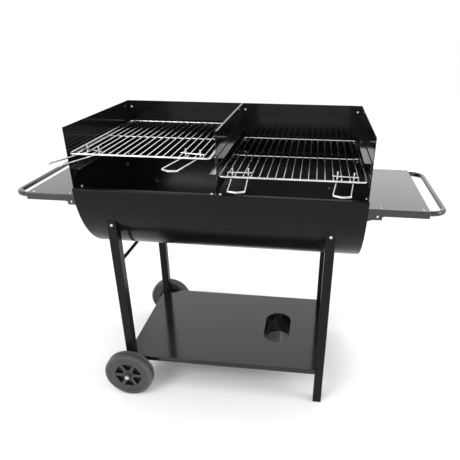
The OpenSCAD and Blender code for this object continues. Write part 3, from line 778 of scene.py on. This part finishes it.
def wire_grid():
    """An oblong of edge wire with straight wires across it, about the origin."""
    tree, sockets, given, result = tree_with("wire_grid", {
        "Width": "NodeSocketFloat", "Depth": "NodeSocketFloat", "Corner": "NodeSocketFloat",
        "Edge radius": "NodeSocketFloat", "Wire radius": "NodeSocketFloat", "Wires": "NodeSocketInt",
        "Pitch": "NodeSocketFloat", "Material": "NodeSocketMaterial"})
    nodes, links = tree.nodes, tree.links

    def sections(radius_label, curve):
        circle = nodes.new("GeometryNodeCurvePrimitiveCircle")
        circle.inputs["Resolution"].default_value = 14
        links.new(given.outputs[radius_label], circle.inputs["Radius"])
        skin = nodes.new("GeometryNodeCurveToMesh")
        skin.inputs["Fill Caps"].default_value = True
        links.new(curve, skin.inputs["Curve"])
        links.new(circle.outputs["Curve"], skin.inputs["Profile Curve"])
        return skin.outputs["Mesh"]

    def vector(x=None, y=None):
        node = nodes.new("ShaderNodeCombineXYZ")
        for label, value in (("X", x), ("Y", y)):
            if value is not None:
                links.new(value, node.inputs[label])
        return node.outputs["Vector"]

    oblong = nodes.new("GeometryNodeCurvePrimitiveQuadrilateral")
    links.new(given.outputs["Width"], oblong.inputs["Width"])
    links.new(given.outputs["Depth"], oblong.inputs["Height"])
    fillet = nodes.new("GeometryNodeFilletCurve")
    fillet.mode = "POLY"
    fillet.inputs["Count"].default_value = 8
    links.new(oblong.outputs["Curve"], fillet.inputs["Curve"])
    links.new(given.outputs["Corner"], fillet.inputs["Radius"])
    edge = sections("Edge radius", fillet.outputs["Curve"])

    depth, pitch_socket, wires = [given.outputs[label] for label in ("Depth", "Pitch", "Wires")]
    half_depth = maths(nodes, links, "MULTIPLY", depth, 0.5)
    line = nodes.new("GeometryNodeCurvePrimitiveLine")
    links.new(vector(y=maths(nodes, links, "MULTIPLY", half_depth, -1.0)), line.inputs["Start"])
    links.new(vector(y=half_depth), line.inputs["End"])
    wire = sections("Wire radius", line.outputs["Curve"])
    places = nodes.new("GeometryNodeMeshLine")
    links.new(wires, places.inputs["Count"])
    gaps = maths(nodes, links, "SUBTRACT", wires, 1)
    half_spread = maths(nodes, links, "MULTIPLY", maths(nodes, links, "MULTIPLY", gaps, -0.5), pitch_socket)
    links.new(vector(x=half_spread), places.inputs["Start Location"])
    links.new(vector(x=pitch_socket), places.inputs["Offset"])
    copies = nodes.new("GeometryNodeInstanceOnPoints")
    links.new(places.outputs["Mesh"], copies.inputs["Points"])
    links.new(wire, copies.inputs["Instance"])
    join = nodes.new("GeometryNodeJoinGeometry")
    links.new(edge, join.inputs["Geometry"])
    links.new(copies.outputs["Instances"], join.inputs["Geometry"])
    painted_result(tree, given, result, join.outputs["Geometry"])
    return tree, sockets


chrome = chrome_plate()
EDGE_WIRE = 0.00225
INNER_WIRE = 0.00175
CROSS_WIRE = 0.0015
CROSS_DROP = 0.001 - INNER_WIRE - CROSS_WIRE
WIRES = 17
RAIL_WIDTH = 0.018
GRATE_CORNER = 0.012
CROSS_BEND, CROSS_INSET = 0.004, 0.0012
RAIL_ROOM = 0.006
LOOSE_GAP = 0.0003
grid_tree, grid_sockets = wire_grid()
for side in SIDES:
    low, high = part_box(f"grate_{side}")
    grate_width = high[0] - low[0] - 2 * EDGE_WIRE
    grate_depth = high[1] - low[1] - 2 * EDGE_WIRE
    pitch = grate_width / (WIRES + 1)
    centre = Vector(((low[0] + high[0]) / 2, (low[1] + high[1]) / 2, high[2] - EDGE_WIRE))
    grid = grown(grid_tree, grid_sockets, {
        "Width": grate_width, "Depth": grate_depth, "Corner": GRATE_CORNER, "Edge radius": EDGE_WIRE,
        "Wire radius": INNER_WIRE, "Wires": WIRES, "Pitch": pitch, "Material": chrome})
    grid_shape = bmesh.new()
    grid_shape.from_mesh(grid)
    rise_out = grate_width / 2 - CROSS_INSET
    rise_in = grate_width / 2 - RAIL_WIDTH - RAIL_ROOM
    rise = [(rise_in, CROSS_DROP), (rise_out - 1.5 * EDGE_WIRE, -0.0004), (rise_out, -0.0002)]
    cross_corners = [Vector((-x, 0, z)) for x, z in reversed(rise)] + [Vector((x, 0, z)) for x, z in rise]
    cross = tube(rounded(cross_corners, CROSS_BEND), CROSS_WIRE)
    grate = meshed("grate", grid_shape, cross)
    grate.transform(Matrix.Translation(centre))
    shown(f"{side}_grate_wires", dressed(grate, 0.0), chrome, "chrome_wire", f"{side}_grate", f"grate_{side}")

# ---------------------------------------------------------------- grips
# Four loose handles of one bent wire each: a loop in front, two legs under the grate's edge,
# posts that rise between its wires, and a short cross wire welded to the posts.

GRIP_WIRE = 0.00225
GRIP_HOOK = 0.031
GRIP_REACH = 0.097
GRIP_BEND = 0.0055
POST_TOP = 0.0135
NOSE, NOSE_DROP = 0.0075, 0.0015
BAR_HALF = 0.0315
grips = {"left_outer": "left", "left_inner": "left", "right_inner": "right", "right_outer": "right"}
for grip, side in grips.items():
    joint = next(j for j in frame["joints"] if j["name"] == f"{grip}_grip_swing")
    pivot = Vector(joint["pos_m"])
    low, high = joint["range_deg"]
    swing = -(low + high) / 2
    leg_z = -(EDGE_WIRE + GRIP_WIRE + LOOSE_GAP)
    front = -(GRIP_HOOK + GRIP_REACH + NOSE_DROP)
    leg = [(pitch, front + NOSE, leg_z), (pitch, 0, leg_z), (pitch, 0, POST_TOP)]
    wire = [Vector((-x, y, z)) for x, y, z in reversed(leg)] + [Vector((0, front, leg_z))]
    wire += [Vector(corner) for corner in leg]
    loop = tube(rounded(wire, GRIP_BEND, 8), GRIP_WIRE, 16)
    bar_y = 0.001 - GRIP_WIRE - CROSS_WIRE
    bar_z = INNER_WIRE + CROSS_WIRE + LOOSE_GAP
    bar = tube([Vector((x, bar_y, bar_z)) for x in (-BAR_HALF, BAR_HALF)], CROSS_WIRE)
    mesh = meshed("grip", loop, bar)
    mesh.transform(Matrix.Translation(pivot) @ Matrix.Rotation(math.radians(swing), 4, "Z"))
    shown(f"{grip}_grip_wire", dressed(mesh, 0.0), chrome, "chrome_wire", f"{grip}_grip", "grip_" + grip)

# ---------------------------------------------------------------- side tables
# A folded sheet on two bolted angles at each end of the trough, and a bent tube screwed under it,
# which comes out through the table's edge as a handle.

HANDLE_BEND = 0.035
table_black = enamel("table_black", roughness=0.12, shine=0.45, coat=0.5, wave=0.0005)
for side in SIDES:
    shown(f"{side}_table_sheet", folded(f"table_{side}", 0.0025), table_black, "gloss_enamel",
          "trolley", f"table_{side}")
    for end in ENDS:
        shown(f"{end}_{side}_angle", folded(f"bracket_{end}_{side}", 0.002), gloss_black, "gloss_enamel",
              "trolley", f"bracket_{end}_{side}")
    low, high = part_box(f"handle_{side}")
    tube_radius = (high[2] - low[2]) / 2
    z = (low[2] + high[2]) / 2
    near, far = (low[0], high[0] - tube_radius) if side == "right" else (high[0], low[0] + tube_radius)
    front, back = low[1] + tube_radius, high[1] - tube_radius
    corners = [Vector((x, y, z)) for x, y in ((near, front), (far, front), (far, back), (near, back))]
    bent = tube(rounded(corners, HANDLE_BEND, 16), tube_radius, 32, 0.1)
    shown(f"{side}_handle_tube", dressed(meshed("handle", bent), 0.0), gloss_black, "gloss_enamel",
          "trolley", f"handle_{side}")

# ---------------------------------------------------------------- bolts
# Zinc-plated bolts with domed heads, washers and hexagon nuts hold the sheets and the legs together.
# Small screws with the same domed heads hold the tables and their handles.

NUT_RADIUS, NUT_HEIGHT = 0.0046, 0.004
WASHER_RADIUS, WASHER = 0.0052, 0.0008
BOLT_RADIUS = 0.0025
THREAD_SHOWS = 0.0002
SCREW_RADIUS = 0.002
LONG_SCREW = 0.01
HEAD_RISE = 1.2
BOLT_AXIS = {
    "guard_bolts": 1, "end_bolts": 0, "leg_bolts": 1, "shelf_bolts": 0, "rim_bolts": 2, "table_screws": 1}


def islands(node):
    """The separate solids of a CAD node, each as its lowest and highest corner."""
    bm = merged_copy(node)
    todo, found = set(bm.verts), []
    while todo:
        stack = [todo.pop()]
        group = []
        while stack:
            vert = stack.pop()
            group.append(vert.co.copy())
            for edge in vert.link_edges:
                other = edge.other_vert(vert)
                if other in todo:
                    todo.remove(other)
                    stack.append(other)
        found.append((
            Vector([min(p[i] for p in group) for i in range(3)]),
            Vector([max(p[i] for p in group) for i in range(3)])))
    bm.free()
    return found


def stacked(bm, outline, steps=28):
    """Turns an outline of (radius, z) points about Z, with its ends closed on the axis."""
    turns = [2 * math.pi * k / steps for k in range(steps)]
    lofted(bm, [[bm.verts.new((r * math.cos(a), r * math.sin(a), z)) for a in turns] for r, z in outline])


def bolt_mesh(radius, length, nut):
    """A bolt that points up +Z with its head's underside at the origin."""
    bm = bmesh.new()
    head = radius * 1.8
    dome = [(0.1 * head, 1.25 * radius), (0.45 * head, 1.15 * radius), (0.78 * head, 0.8 * radius),
            (0.96 * head, 0.32 * radius), (head, 0.06 * radius), (head, 0)]
    stacked(bm, dome + [(radius, 0), (radius, -length)])
    if nut:
        nut_top = NUT_HEIGHT - WASHER - length
        stacked(bm, [(NUT_RADIUS, nut_top), (NUT_RADIUS, THREAD_SHOWS - length)], steps=6)
        stacked(bm, [(WASHER_RADIUS, nut_top + WASHER), (WASHER_RADIUS, nut_top)])
    return meshed("bolt", bm)


def copies_on_points():
    """One copy of a shape on each point of the base mesh, turned to the point's own direction."""
    tree, sockets, given, result = tree_with("bolts_in_place", {
        "Shape": "NodeSocketObject", "Material": "NodeSocketMaterial"})
    nodes, links = tree.nodes, tree.links
    shape = nodes.new("GeometryNodeObjectInfo")
    links.new(given.outputs["Shape"], shape.inputs["Object"])
    way = nodes.new("GeometryNodeInputNamedAttribute")
    way.data_type = "FLOAT_VECTOR"
    way.inputs["Name"].default_value = "way"
    turn = nodes.new("FunctionNodeAlignRotationToVector")
    turn.axis = "Z"
    links.new(way.outputs["Attribute"], turn.inputs["Vector"])
    copies = nodes.new("GeometryNodeInstanceOnPoints")
    links.new(given.outputs["Geometry"], copies.inputs["Points"])
    links.new(shape.outputs["Geometry"], copies.inputs["Instance"])
    links.new(turn.outputs["Rotation"], copies.inputs["Rotation"])
    painted_result(tree, given, result, copies.outputs["Instances"])
    return tree, sockets


def head_way(node, low, high):
    """The way a bolt's head points: up or out, but into the guard where a bolt holds the guard."""
    middle = (low + high) / 2
    axis = BOLT_AXIS[node]
    if node == "table_screws" and high.z - low.z > LONG_SCREW:
        axis = 2
    way = Vector((0, 0, 0))
    way[axis] = 1.0 if axis == 2 or middle[axis] > (trough_y if axis == 1 else 0) else -1.0
    holds_guard = node == "guard_bolts" or (node == "end_bolts" and middle.z > table_top)
    return -way if holds_guard else way


bolt_tree, bolt_sockets = copies_on_points()
table_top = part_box("table_left")[1][2]
for node in BOLT_AXIS:
    radius = SCREW_RADIUS if node == "table_screws" else BOLT_RADIUS
    rise = HEAD_RISE * radius
    by_length = {}
    for low, high in islands(node):
        way = head_way(node, low, high)
        axis = max(range(3), key=lambda i: abs(way[i]))
        length = high[axis] - low[axis] - rise
        seat = (low + high) / 2
        seat[axis] = (high[axis] - rise) if way[axis] > 0 else (low[axis] + rise)
        by_length.setdefault(round(length, 4), []).append((seat, way))
    groups = []
    for length, places in by_length.items():
        points = bpy.data.meshes.new("places")
        points.from_pydata([seat for seat, way in places], [], [])
        ways = points.attributes.new("way", "FLOAT_VECTOR", "POINT")
        for i, (seat, way) in enumerate(places):
            ways.data[i].vector = way
        shape = linked("shape", bolt_mesh(radius, length, node != "table_screws"))
        grown_mesh = grown(bolt_tree, bolt_sockets, {"Shape": shape, "Material": zinc}, points)
        bpy.data.objects.remove(shape)
        group = bmesh.new()
        group.from_mesh(grown_mesh)
        groups.append(group)
    shown(node + "_set", dressed(meshed(node, *groups), 0.0002, 1), zinc, "zinc", "trolley", node)
